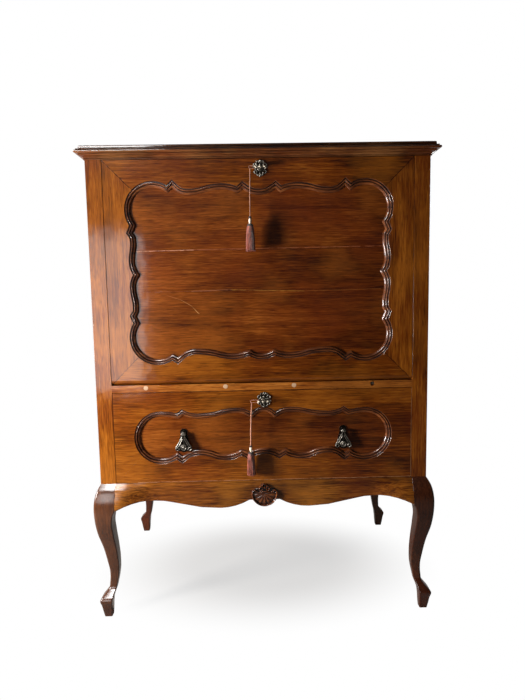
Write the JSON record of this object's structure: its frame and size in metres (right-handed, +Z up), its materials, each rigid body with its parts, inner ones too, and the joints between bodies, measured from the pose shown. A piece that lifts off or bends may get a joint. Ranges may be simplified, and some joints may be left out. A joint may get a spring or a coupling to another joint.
{
  "type": "secretary desk",
  "caption": "Drop-front secretary desk on cabriole legs with a fall that lowers into a writing surface, pigeonholes behind it and a large drawer below.",
  "frame": {"origin": "on the floor under the middle of the desk", "axes": "+Z up, +X to the right across the front, -Y towards the person using it"},
  "size_m": [0.9644, 0.62, 1.31],
  "materials": {
    "polished_wood": "French polished",
    "figured_wood": "French polished",
    "inside_wood": "satin",
    "plug_wood": "matt",
    "brass": "aged",
    "dark_bronze": "dark patina with worn edges",
    "silk": "matt",
    "leather": "satin"
  },
  "bodies": {
    "case": {"top_board": "figured_wood", "cornice_front": "polished_wood", "cornice_returns": "polished_wood", "front_left_stile": "polished_wood", "front_right_stile": "polished_wood", "rear_stiles": "polished_wood", "left_side_rails": "polished_wood", "right_side_rails": "polished_wood", "left_side_panel": "figured_wood", "right_side_panel": "figured_wood", "side_aprons": "polished_wood", "front_apron": "polished_wood", "apron_shell": "polished_wood", "rear_rails": "inside_wood", "back_boards": "inside_wood", "mid_rail": "figured_wood", "rail_screws": "brass", "rail_plugs": "plug_wood", "dust_board": "inside_wood", "desk_floor": "figured_wood", "drawer_runners": "inside_wood", "fall_stop_rail": "polished_wood", "front_left_leg": "polished_wood", "front_right_leg": "polished_wood", "rear_legs": "polished_wood", "pigeonhole_case": "inside_wood", "pigeonhole_dividers": "inside_wood", "stay_keepers": "brass", "pivot_sockets": "brass"},
    "fall": {"fall_left_stile": "polished_wood", "fall_right_stile": "polished_wood", "fall_top_rail": "polished_wood", "fall_bottom_rail": "polished_wood", "fall_boards": "figured_wood", "fall_moulding": "figured_wood", "writing_leather": "leather", "fall_hardware": "brass", "fall_lock": "brass", "fall_escutcheon": "dark_bronze"},
    "fall_bolt": {"fall_bolt": "brass"},
    "fall_key": {"fall_key": "brass"},
    "fall_cord_loop": {"fall_cord_loop": "silk"},
    "fall_tassel": {"fall_cord": "silk", "fall_tassel": "silk"},
    "drawer": {"drawer_front_frame": "polished_wood", "drawer_panel": "figured_wood", "drawer_moulding": "figured_wood", "drawer_box": "inside_wood", "drawer_lock": "brass", "drawer_escutcheon": "dark_bronze", "pull_plates": "dark_bronze"},
    "drawer_bolt": {"drawer_bolt": "brass"},
    "drawer_key": {"drawer_key": "brass"},
    "drawer_tassel": {"drawer_cord_loop": "silk", "drawer_cord": "silk", "drawer_tassel": "silk"},
    "left_pull": {"left_pull": "dark_bronze"},
    "right_pull": {"right_pull": "dark_bronze"},
    "inner_left_drawer": {"inner_left_drawer": "inside_wood"},
    "inner_right_drawer": {"inner_right_drawer": "inside_wood"}
  },
  "joints": [
    {"name": "fall_hinge", "type": "hinge", "parent": "case", "child": "fall", "pos_m": [0, -0.27, 0.6833], "axis": [1, 0, 0], "range_deg": [0, 90]},
    {"name": "fall_key_turn", "type": "hinge", "parent": "fall", "child": "fall_key", "pos_m": [0.003, -0.282, 1.247], "axis": [0, -1, 0], "range_deg": [0, 90]},
    {"name": "fall_bolt_slide", "type": "slide", "parent": "fall", "child": "fall_bolt", "axis": [0, 0, 1], "range_m": [0, 0.008]},
    {"name": "fall_cord_loop_turn", "type": "hinge", "parent": "fall_key", "child": "fall_cord_loop", "pos_m": [-0.01535, -0.3, 1.247], "axis": [0, -1, 0], "range_deg": [-90, 0]},
    {"name": "fall_tassel_swing", "type": "hinge", "parent": "fall_cord_loop", "child": "fall_tassel", "pos_m": [-0.02335, -0.3, 1.24365], "axis": [1, 0, 0], "range_deg": [-90, 0]},
    {"name": "drawer_slide", "type": "slide", "parent": "case", "child": "drawer", "axis": [0, -1, 0], "range_m": [0, 0.36]},
    {"name": "drawer_key_turn", "type": "hinge", "parent": "drawer", "child": "drawer_key", "pos_m": [0.003, -0.282, 0.622], "axis": [0, -1, 0], "range_deg": [0, 90]},
    {"name": "drawer_bolt_slide", "type": "slide", "parent": "drawer", "child": "drawer_bolt", "axis": [0, 0, 1], "range_m": [0, 0.008]},
    {"name": "drawer_tassel_turn", "type": "hinge", "parent": "drawer_key", "child": "drawer_tassel", "pos_m": [-0.01535, -0.3, 0.622], "axis": [0, -1, 0], "range_deg": [-90, 0]},
    {"name": "left_pull_swing", "type": "hinge", "parent": "drawer", "child": "left_pull", "pos_m": [-0.224, -0.283, 0.5314], "axis": [-1, 0, 0], "range_deg": [0, 75]},
    {"name": "right_pull_swing", "type": "hinge", "parent": "drawer", "child": "right_pull", "pos_m": [0.224, -0.283, 0.5314], "axis": [-1, 0, 0], "range_deg": [0, 75]},
    {"name": "inner_left_drawer_slide", "type": "slide", "parent": "case", "child": "inner_left_drawer", "axis": [0, -1, 0], "range_m": [0, 0.13]},
    {"name": "inner_right_drawer_slide", "type": "slide", "parent": "case", "child": "inner_right_drawer", "axis": [0, -1, 0], "range_m": [0, 0.13]}
  ],
  "couplings": [
    {"joint": "fall_bolt_slide", "follows": "fall_key_turn", "m_per_rad": 0.005093},
    {"joint": "fall_cord_loop_turn", "follows": "fall_key_turn", "ratio": -1},
    {"joint": "fall_tassel_swing", "follows": "fall_hinge", "ratio": -1},
    {"joint": "drawer_bolt_slide", "follows": "drawer_key_turn", "m_per_rad": 0.005093},
    {"joint": "drawer_tassel_turn", "follows": "drawer_key_turn", "ratio": -1}
  ]
}
